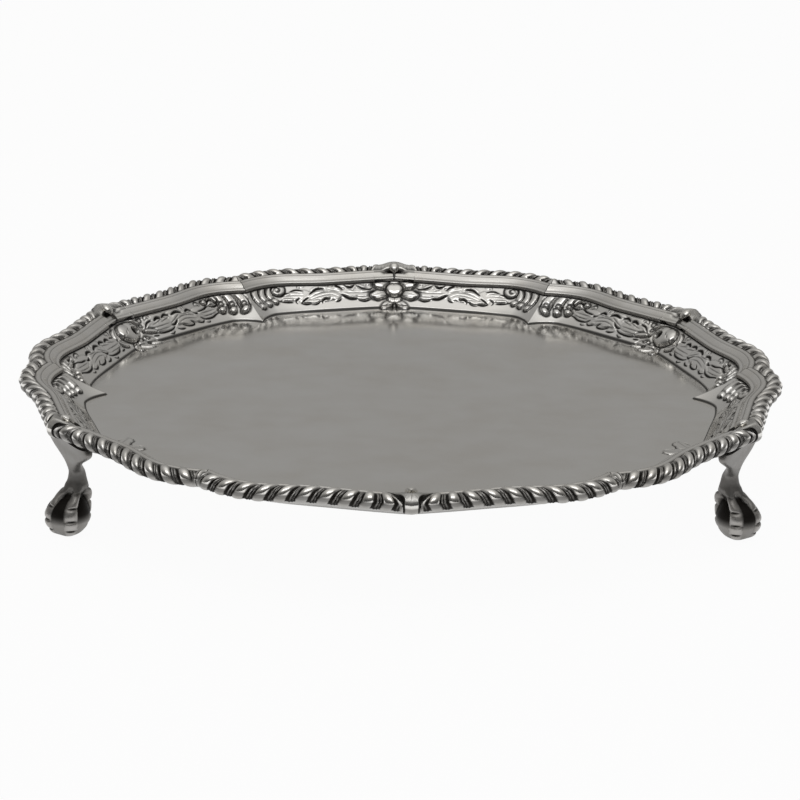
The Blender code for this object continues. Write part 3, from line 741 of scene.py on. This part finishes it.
def gadroon_row(arc, along, turn, share):
    """A row along the gadroons, at an angle round them and its share of the way round."""
    half = CLASP_HALF_WIDTH + (HOOD_HALF_WIDTH - CLASP_HALF_WIDTH) * max(0, 1 - 2 * share)
    angle = row_angles(arc, along, half)
    stand, cut = gadroon(along, np.full_like(along, share))
    reach = GADROON_RADIUS - GADROON_SKIN + stand
    radius = radius_inside(angle, reach * math.cos(turn))
    # Painted reflection: a dark band down the gadroons' outer side and under them, a little lighter
    # at the bottom, as if they mirrored a dark room there.
    painted_dark_band = 0.72 * smooth(share, 0.5, 0.54) - 0.2 * smooth(share, 0.6, 0.68)
    row = polar(radius, angle, RIM_HEIGHT + reach * math.sin(turn))
    return row, np.maximum(cut, painted_dark_band)


def make_rim(material):
    arc = rim_arc()
    first = CLASP_HALF_WIDTH + FIT_GAP
    last = arc[1][-1] - FIT_GAP / 2
    along = np.linspace(first, last, int((last - first) / RING_STEP) + 1)
    rows = [moulding_row(arc, along, HOOD_HALF_WIDTH, *place) for place in MOULDING]
    for i, turn in enumerate(GADROON_ARC):
        rows.append(gadroon_row(arc, along, turn, i / (len(GADROON_ARC) - 1)))
    # The last two rows run under the rim and are painted dark as shade there.
    rows.append(moulding_row(arc, along, CLASP_HALF_WIDTH, GADROON_ROOT, UNDERSIDE, 0.3))
    rows.append(moulding_row(arc, along, HOOD_HALF_WIDTH, MOULDING_WIDTH, UNDERSIDE, 0.6))
    points, shade, faces = loft(rows)
    for number in range(12):
        mirrored = number % 2 == 0
        placed = turned(points, HALF_SIDE * (2 * (number // 2) + 1), mirrored)
        ordered = [face[::-1] for face in faces] if mirrored else faces
        name = f"rim_gadroons_{number + 1:02d}"
        piece = add_mesh(name, placed, ordered, shade, material, 60 * DEG)
        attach(piece, "root")
        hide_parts(f"rim_section_{number + 1:02d}")


# ---------------- clasps

CLASP_SKIN = 0.09  # how far a clasp stays inside its solid
ACROSS_CLASP = np.linspace(-1, 1, 61)
SWELL = 1 - np.abs(ACROSS_CLASP) ** 2.2  # of a clasp, to its sides
LIP_ROWS = 8  # of the moulding's places that run on over a clasp
HOOD_ROWS = (  # inset, height, oxide, and share of the hood's rise: a recess and the leaf's tip
    (5.35, 0.35, 0.5, 0), (5.0, -0.1, 1, 0), (4.5, -0.25, 1, 0), (3.9, 0.0, 1, 0),
    (3.45, 0.7, 1, 0.05), (3.3, 1.3, 0.7, 0.1), (3.2, 1.7, 0.1, 0.15), (3.0, 1.95, 0, 0.2),
    (2.6, 2.1, 0, 0.25),
)
CLASP_ARC = np.linspace(56, 300, 26) * DEG
HOOD_TOP = 98  # degrees round the gadroons, where the hood stands highest
LEAF_RIBS = 7
RIB_DEPTH = 0.07


def clasp_row(half, place, inset, height, shade):
    """A row across a clasp from its half width, measured where the inset is place."""
    angle = ACROSS_CLASP * (half / radius_inside(0.0, place))
    row = polar(radius_inside(np.abs(angle), inset), angle, RIM_HEIGHT + height)
    return row, np.clip(shade, 0, 1)


def hood_row(half, place, height, dark, lift=0):
    """A row of a clasp that is itself in its middle and turns into the moulding at its sides."""
    insets, heights, oxides = np.array(MOULDING).T
    recess = 1 - smooth(np.abs(ACROSS_CLASP), 0.3, 0.72)
    plain = np.interp(-place, -insets, heights)
    oxide = np.interp(-place, -insets, oxides)
    height = (height + HOOD_RISE * SWELL * lift) * recess + plain * (1 - recess)
    return clasp_row(half, place, place, height, dark * recess + oxide * (1 - recess))


def leaf_row(turn, share):
    """A row of the leaf round the gadroons, at an angle and its share of the way round."""
    narrow = max(0, 1 - 3.2 * share) ** 1.5
    half = CLASP_HALF_WIDTH + (HOOD_HALF_WIDTH - CLASP_HALF_WIDTH) * narrow
    ribs = RIB_DEPTH * (np.cos(ACROSS_CLASP * 2 * LEAF_RIBS * math.pi) - 2)
    ribs = ribs * smooth(0.5 - share, 0, 0.35)
    reach = GADROON_RADIUS - CLASP_SKIN + CLASP_CROWN * SWELL + ribs
    rise = 0.5 * HOOD_RISE * SWELL * math.exp(-(((turn / DEG - HOOD_TOP) / 24) ** 2))
    height = reach * math.sin(turn) + rise
    # Painted reflection: the clasp's leaf is dark down its outer side and under it, like the
    # gadroons, a little lighter at the bottom.
    painted_dark_band = 0.6 * smooth(share, 0.5, 0.56) - 0.1 * smooth(share, 0.62, 0.7)
    # Painted shade: black at the leaf's flanks, where it meets the gadroons, from a little way round
    # onwards.
    sides = smooth(np.abs(ACROSS_CLASP), 0.72, 0.86) * smooth(share, 0.12, 0.25)
    shade = np.clip(-ribs * 3, 0, 0.4) + painted_dark_band + sides
    return clasp_row(half, GADROON_RADIUS * math.cos(turn), reach * math.cos(turn), height, shade)


def make_clasps(material):
    rows = [hood_row(HOOD_HALF_WIDTH, *place) for place in MOULDING[:LIP_ROWS] + HOOD_ROWS]
    for i, turn in enumerate(CLASP_ARC):
        rows.append(leaf_row(turn, i / (len(CLASP_ARC) - 1)))
    # The last two rows run under the clasp and are painted dark as shade there.
    rows.append(hood_row(CLASP_HALF_WIDTH, GADROON_ROOT, UNDERSIDE, 0.3))
    rows.append(hood_row(HOOD_HALF_WIDTH, MOULDING_WIDTH, UNDERSIDE, 0.6))
    points, shade, faces = loft(rows)
    for path, widths, depths, oxide in bud_parts():
        made, dark, more = tube(path, widths, depths, len(points))
        points = np.vstack([points, made])
        shade = np.concatenate([shade, dark + oxide])
        faces += more
    for number in range(6):
        placed = turned(points, HALF_SIDE * (2 * number + 1))
        piece = add_mesh(f"clasp_leaf_{number + 1}", placed, faces, shade, material, 60 * DEG)
        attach(piece, "root")
        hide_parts(f"knuckle_clasp_{number + 1}")


def bud_parts():
    """The bud on a clasp's inner slope and the stem that runs from it to the border.

    Each is a path with its half widths and half depths, and how black it is.
    """

    def at(inset, height):
        return (RIM_KNUCKLE - inset, 0, RIM_HEIGHT + height)

    bud = [at(1.7, 3.5), at(2.5, 3.3), at(3.5, 2.75), at(4.5, 1.95), at(5.3, 1.15), at(5.9, 0.65)]
    stem = [at(5.5, 0.95), at(6.4, 0.35), at(7.3, -0.45), at(8.2, -1.5)]
    return (
        (bud, (0.3, 1.3, 1.9, 1.9, 1.3, 0.45), (0.2, 0.7, 1.1, 1.15, 0.85, 0.35), 0),
        (stem, (0.45, 0.42, 0.4, 0.45), (0.4, 0.4, 0.4, 0.4), 0.85),
    )


def tube(path, widths, depths, start, sides=18, steps=8):
    """A swelling rod along a path in the plane y = 0, as points, oxide and faces."""
    line = curve_through(path, steps)
    share = np.linspace(0, len(path) - 1, len(line))
    wide = np.interp(share, range(len(path)), widths)
    deep = np.interp(share, range(len(path)), depths)
    along = np.gradient(line, axis=0)
    along /= np.linalg.norm(along, axis=1)[:, None]
    side = np.array([0.0, 1.0, 0.0])
    off = np.cross(along, side)
    turn = np.linspace(0, 2 * math.pi, sides, endpoint=False)
    groove = np.clip(np.cos(3 * turn), 0, 1) ** 2
    round_part = 1 - 0.09 * groove
    points = (
        line[:, None, :]
        + side * (wide[:, None] * np.sin(turn) * round_part)[..., None]
        + off[:, None, :] * (deep[:, None] * np.cos(turn) * round_part)[..., None]
    )
    dark = np.tile(0.25 * groove, len(line))
    return points.reshape(-1, 3), dark, loft_faces(len(line), sides, start)


# ---------------- feet

FOOT_HEIGHTS = np.concatenate([np.linspace(0, 17, 74), np.linspace(17.4, FOOT_TOP_Z, 40)])
FOOT_SIDES = 112
BALL_RINGS = (-52 * DEG, -32 * DEG, -10 * DEG)  # up from the ball's middle
# The claw above them, in ball radii: height, half width, half depth, and the set back as a share
CLAW_RINGS = (
    (0.207, 0.986, 0.986, 0.03), (0.53, 0.92, 0.942, 0.23), (0.88, 0.783, 0.812, 0.54),
    (1.23, 0.572, 0.594, 0.86),
)
ANKLE_WIDER = 1.2
# The shield, as shares: height from the leg to the top, width, depth, set back
SHIELD_RINGS = (
    (0.24, 0.31, 1.3, 2.2), (0.45, 0.51, 1.0, 1.3), (0.60, 0.719, 1.0, 1.0),
    (0.74, 0.90, 1.1, 1.0), (0.84, 1.00, 1.3, 1.0), (0.93, 0.975, 1.533, 1.0),
    (1.0, 0.94, SHIELD_TOP_HALF_DEPTH / SHIELD_HALF_DEPTH, 1.0),
)
TOES = (0, 75, 180, -75)
TOE_HALF_WIDTH = 2.15
TOE_JOINTS = (3.0, 6.4, 10.4, 14.4)


def foot_stations():
    """Rings up a foot: height, half width, half depth, and how far it is set back."""
    ball = BALL_RADIUS
    pad = math.sqrt(ball**2 - BALL_CENTRE_Z**2)
    stations = [(0, pad, pad, 0)]
    for up in BALL_RINGS:
        radius = ball * math.cos(up)
        stations.append((BALL_CENTRE_Z + ball * math.sin(up), radius, radius, 0))
    for up, wide, deep, back in CLAW_RINGS:
        stations.append((BALL_CENTRE_Z + ball * up, ball * wide, ball * deep, LEG_SET_BACK * back))
    ankle = (stations[-1][0] + LEG_HEIGHT) / 2
    stations.append((ankle, ANKLE_WIDER * LEG_HALF_WIDTH, ANKLE_WIDER * LEG_HALF_DEPTH, LEG_SET_BACK))
    stations.append((LEG_HEIGHT, LEG_HALF_WIDTH, LEG_HALF_DEPTH, LEG_SET_BACK))
    for rise, wide, deep, back in SHIELD_RINGS:
        height = LEG_HEIGHT + (FOOT_TOP_Z - LEG_HEIGHT) * rise
        width, depth = SHIELD_HALF_WIDTH * wide, SHIELD_HALF_DEPTH * deep
        stations.append((height, width, depth, SHIELD_SET_BACK * back))
    return stations


def softened(values):
    """A row of numbers with its corners rounded and its ends kept."""
    for _ in range(4):
        inner = np.convolve(values, (0.25, 0.5, 0.25), "same")
        values = np.concatenate([values[:1], inner[1:-1], values[-1:]])
    return values


def toe_ridges(z, turn, shank):
    """1 along the middle of each toe, down to 0 at its sides."""
    toe = np.zeros_like(z * turn)
    half = TOE_HALF_WIDTH - 0.4 * smooth(z, 7, 14) - 0.8 * smooth(-z, -3.5, -1.0)
    for angle in TOES:
        away = np.abs(np.mod(turn - angle * DEG + math.pi, 2 * math.pi) - math.pi)
        ridge = np.clip(1 - (away * shank / half) ** 2, 0, 1) ** 0.5
        toe = np.maximum(toe, ridge * (away < 1.0))
    return toe


def toe_bones(z):
    """How far the toes' bones swell at a height, and 1 in the creases between them."""
    bone = np.zeros_like(z)
    crease = np.zeros_like(z)
    for low, high in zip((0.6,) + TOE_JOINTS[:-1], TOE_JOINTS):
        middle, half = (low + high) / 2, (high - low) / 2
        bone = np.maximum(bone, np.clip(1 - ((z - middle) / half) ** 2, 0, 1) ** 0.5)
        crease = np.maximum(crease, np.exp(-(((z - high) / 0.42) ** 4)))
    return bone, crease


def foot_shade(z, toe, bone, crease, claw):
    """Black between the toes as painted shade, and in their creases as oxide; dark on the toes'
    flanks; and brown on the rest, which is tarnish and painted shade.
    """
    below = smooth(z, 0.5, 1.8)
    # Painted shade: black between the toes, deeper higher up where the claw closes over the ball.
    painted_gap_shade = smooth(-toe, -0.35, 0.0) * (0.62 + 0.38 * smooth(z, 4, 8)) * smooth(z, 0.6, 2.0) * claw
    seam = smooth(toe, 0.02, 0.3) * smooth(-toe, -0.62, -0.3) * below * claw
    black = np.maximum(np.maximum(painted_gap_shade, 0.8 * seam), crease * toe * below * claw)
    shin = smooth(z, 11, 14) * smooth(-z, -25, -20)
    # Tarnish and painted shade: darker at the very bottom and up the shin, and lighter on the toes'
    # bones.
    tarnish_and_shade = 0.68 + 0.1 * smooth(-z, -4, -0.5) + 0.1 * shin - 0.2 * toe * claw * bone
    return np.maximum(black, tarnish_and_shade)


def foot_surface(z, turn):
    """A foot's points and oxide, over a column of heights and a row of angles."""
    stations = np.array(foot_stations()).T
    sizes = [softened(np.interp(z[:, 0], stations[0], size)) for size in stations[1:]]
    wide, deep, back = (size[:, None] for size in sizes)
    ball = np.sqrt(np.clip(BALL_RADIUS**2 - (z - BALL_CENTRE_Z) ** 2, 0, None))
    shank = np.minimum(wide, deep)
    core = np.maximum(ball, 0.62 * shank * smooth(z, 8, 12))
    claw = smooth(-z, -16.5, -13.5)
    toe = toe_ridges(z, turn, shank)
    bone, crease = toe_bones(z)
    proud = toe * (0.05 + 0.7 * bone) * smooth(z, 0.5, 1.8) * claw - 0.25 * crease * toe * claw
    between = (1 - toe) * claw * smooth(z, 0.8, 2.5)
    half_width = wide - np.maximum(wide - core, 0) * between + proud
    half_depth = deep - np.maximum(deep - core, 0) * between + proud
    set_back = back * (1 - between) + back * smooth(z, 8, 15) * between
    blunt = 1 - 0.42 * smooth(z, 23, 27)
    c, s = np.cos(turn), np.sin(turn)
    x = BALL_OUT - set_back + half_depth * np.sign(c) * np.abs(c) ** blunt
    y = half_width * np.sign(s) * np.abs(s) ** blunt
    points = np.stack([x, y, np.broadcast_to(z, x.shape)], -1)
    return points, foot_shade(z, toe, bone, crease, claw)


def make_feet(material):
    turn = np.linspace(0, 2 * math.pi, FOOT_SIDES, endpoint=False)
    points, dark = foot_surface(FOOT_HEIGHTS[:, None], turn[None, :])
    faces = loft_faces(len(FOOT_HEIGHTS), FOOT_SIDES)
    for number in range(3):
        placed = turned(points, math.pi / 2 + 2 * math.pi * number / 3)
        name = f"claw_ball_foot_{number + 1}"
        piece = add_mesh(name, placed, faces, dark.ravel(), material, 70 * DEG)
        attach(piece, "root")
        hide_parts(f"claw_foot_{number + 1}")


# ---------------- materials

# The black of the oxide, and of the painted shade that shares its mix.
OXIDE_AND_SHADE_BLACK = (0.022, 0.02, 0.018, 1)
TARNISH = (0.93, 0.915, 0.89)  # how much of the metal's colour is left under it
STREAK_SCALE = (25, 55, 25)
SCUFF_SIZE = 0.6
SCUFF_DEPTH = 0.02


def feed(tree, socket, value):
    """Sets a socket to a number or a colour, or links another node's output to it."""
    if isinstance(value, bpy.types.NodeSocket):
        tree.links.new(value, socket)
    else:
        socket.default_value = value


def add_node(tree, kind, **inputs):
    """The outputs of a new shader node, whose inputs are fed by name. A Mix mixes colours."""
    node = tree.nodes.new("ShaderNode" + kind)
    if kind == "Mix":
        node.data_type = "RGBA"
    for name, value in inputs.items():
        feed(tree, node.inputs[name.replace("_", " ")], value)
    return node.outputs


def maths(tree, operation, *values):
    """A Math node's result over outputs and plain numbers."""
    node = tree.nodes.new("ShaderNodeMath")
    node.operation = operation
    for socket, value in zip(node.inputs, values):
        feed(tree, socket, value)
    return node.outputs["Value"]


def silver(name, bright, polish, wear, mottle_size, bump):
    """Old silver: polished where it is rubbed, and black by each point's share, which is oxide in its
    recesses and painted shade elsewhere.
    """
    material = bpy.data.materials.new(name)
    material.use_nodes = True
    tree = material.node_tree
    attribute = tree.nodes.new("ShaderNodeAttribute")
    attribute.attribute_name = "oxide_and_shade"
    oxide_and_shade = attribute.outputs["Fac"]
    place = add_node(tree, "TexCoord")["Object"]
    mottle = add_node(tree, "TexNoise", Vector=place, Scale=1 / (mottle_size * MM), Detail=5)["Fac"]
    streaks = add_node(tree, "Mapping", Vector=place, Scale=STREAK_SCALE)["Vector"]
    rubbing = add_node(tree, "TexNoise", Vector=streaks, Scale=1, Detail=4)["Fac"]
    cloudy = maths(tree, "MULTIPLY", mottle, rubbing)
    share = add_node(tree, "MapRange", Value=cloudy, From_Min=0.12, From_Max=0.4)["Result"]
    dulled = [channel * left for channel, left in zip(bright, TARNISH)]
    metal = add_node(tree, "Mix", Factor=share, A=(*bright, 1), B=(*dulled, 1))["Result"]
    colour = add_node(tree, "Mix", Factor=oxide_and_shade, A=metal, B=OXIDE_AND_SHADE_BLACK)["Result"]
    polished = add_node(tree, "MapRange", Value=mottle, To_Min=polish, To_Max=polish + wear)["Result"]
    roughness = maths(tree, "MULTIPLY_ADD", oxide_and_shade, 0.4, polished)
    scuffs = add_node(tree, "TexNoise", Vector=place, Scale=1 / (SCUFF_SIZE * MM), Detail=3)["Fac"]
    bumps = add_node(tree, "Bump", Strength=bump, Distance=SCUFF_DEPTH * MM, Height=scuffs)
    shader = tree.nodes["Principled BSDF"]
    shader.inputs["Metallic"].default_value = 1
    tree.links.new(colour, shader.inputs["Base Color"])
    tree.links.new(roughness, shader.inputs["Roughness"])
    tree.links.new(bumps["Normal"], shader.inputs["Normal"])
    return material


# ---------------- stage

FLOOR_HALF = 12.0  # metres
FLOOR_WHITE = 0.955  # share of pure white that the camera and the metal see in the floor


def floor_material():
    """Pale, and near white to the camera and in the metal, but it still takes a shadow."""
    material = bpy.data.materials.new("pale floor")
    material.use_nodes = True
    tree = material.node_tree
    shader = tree.nodes["Principled BSDF"]
    shader.inputs["Base Color"].default_value = (0.93, 0.93, 0.93, 1)
    shader.inputs["Roughness"].default_value = 0.9
    shader.inputs["Specular IOR Level"].default_value = 0.1
    rays = add_node(tree, "LightPath")
    seen = maths(tree, "MAXIMUM", rays["Is Camera Ray"], rays["Is Glossy Ray"])
    seen = maths(tree, "MAXIMUM", seen, rays["Is Transmission Ray"])
    share = maths(tree, "MULTIPLY", seen, FLOOR_WHITE)
    white = add_node(tree, "Emission", Strength=1)["Emission"]
    mixed = tree.nodes.new("ShaderNodeMixShader")
    for socket, value in zip(mixed.inputs, (share, shader.outputs["BSDF"], white)):
        tree.links.new(value, socket)
    tree.links.new(mixed.outputs["Shader"], tree.nodes["Material Output"].inputs["Surface"])
    return material


def make_floor():
    size = FLOOR_HALF
    mesh = bpy.data.meshes.new("floor")
    corners = [(-size, -size, 0), (size, -size, 0), (size, size, 0), (-size, size, 0)]
    mesh.from_pydata(corners, [], [(0, 1, 2, 3)])
    mesh.materials.append(floor_material())
    floor = bpy.data.objects.new("floor", mesh)
    bpy.context.scene.collection.objects.link(floor)


# The room, dim behind the camera and lighter behind the salver: height as the sine of the
# elevation, and the grey there
FRONT_ROOM = ((0.0, 0.05), (0.35, 0.08), (0.6, 0.18), (0.85, 0.45), (0.97, 0.8))
BACK_ROOM = ((0.0, 0.29), (0.31, 0.315), (0.6, 0.33), (0.85, 0.48), (0.97, 0.8))


def room_wall(tree, height, stops):
    """The wall's colour from its foot to the ceiling, as a ramp over the height."""
    ramp = tree.nodes.new("ShaderNodeValToRGB")
    elements = ramp.color_ramp.elements
    for i, (place, grey) in enumerate(stops):
        stop = elements[i] if i < 2 else elements.new(place)
        stop.position = place
        stop.color = (grey, grey * 0.99, grey * 0.965, 1)
    tree.links.new(height, ramp.inputs["Fac"])
    return ramp.outputs["Color"]


def make_world():
    world = bpy.data.worlds.new("studio")
    world.use_nodes = True
    tree = world.node_tree
    place = add_node(tree, "SeparateXYZ", Vector=add_node(tree, "TexCoord")["Generated"])
    behind = add_node(tree, "MapRange", Value=place["Y"], From_Min=-0.45, From_Max=0.6)["Result"]
    behind.node.interpolation_type = "SMOOTHSTEP"
    front, back = (room_wall(tree, place["Z"], stops) for stops in (FRONT_ROOM, BACK_ROOM))
    room = add_node(tree, "Mix", Factor=behind, A=front, B=back)["Result"]
    tree.links.new(room, tree.nodes["Background"].inputs["Color"])
    bpy.context.scene.world = world


# The softbox over the camera: watts, metres wide and high, and the place of its middle
KEY_POWER = 4
KEY_SIZE = (1.5, 0.7)
KEY_PLACE = Vector((0.0, -0.75, 1.45))


def make_key_light():
    light = bpy.data.lights.new("key", "AREA")
    light.shape = "RECTANGLE"
    light.size, light.size_y = KEY_SIZE
    light.energy = KEY_POWER
    softbox = bpy.data.objects.new("key", light)
    softbox.location = KEY_PLACE
    softbox.rotation_euler = (-KEY_PLACE).to_track_quat("-Z", "Y").to_euler()
    bpy.context.scene.collection.objects.link(softbox)


# ---------------- camera

# Fitted to the photograph: where it stands, how it is turned, and where the middle of the rim
# falls in the picture
AZIMUTH = -1.62 * DEG
ELEVATION = 17.90 * DEG
ROLL = 0.94 * DEG
DISTANCE = 0.7473  # metres
FOCAL_PIXELS = 2234.9
TARGET_PIXEL = (401.3, 368.8)
PICTURE = 800  # pixels across
SENSOR = 36  # millimetres


def make_camera():
    back = Vector((
        math.sin(AZIMUTH) * math.cos(ELEVATION),
        -math.cos(AZIMUTH) * math.cos(ELEVATION),
        math.sin(ELEVATION),
    ))
    target = Vector((0, 0, RIM_HEIGHT * MM))
    right = Vector((math.cos(AZIMUTH), math.sin(AZIMUTH), 0))
    up = back.cross(right)
    c, s = math.cos(ROLL), math.sin(ROLL)
    right, up = c * right + s * up, c * up - s * right
    camera = bpy.data.cameras.new("camera")
    camera.sensor_width = SENSOR
    camera.lens = SENSOR * FOCAL_PIXELS / PICTURE
    camera.shift_x = (PICTURE / 2 - TARGET_PIXEL[0]) / PICTURE
    camera.shift_y = (TARGET_PIXEL[1] - PICTURE / 2) / PICTURE
    camera.clip_start = 0.01
    camera.clip_end = 50
    obj = bpy.data.objects.new("camera", camera)
    turn = Matrix((right, up, back)).transposed()
    obj.matrix_world = Matrix.Translation(target + back * DISTANCE) @ turn.to_4x4()
    bpy.context.scene.collection.objects.link(obj)
    bpy.context.scene.camera = obj


bpy.context.scene.view_settings.view_transform = "Standard"
make_plate(silver("polished silver", (0.87, 0.86, 0.84), 0.09, 0.08, 14, 0.05))
make_rim(silver("cast silver", (0.86, 0.845, 0.82), 0.14, 0.1, 3, 0.15))
make_clasps(silver("bright cast silver", (0.87, 0.86, 0.835), 0.13, 0.1, 3, 0.12))
make_feet(silver("worn cast silver", (0.82, 0.8, 0.775), 0.17, 0.12, 2.5, 0.25))
make_floor()
make_world()
make_key_light()
make_camera()
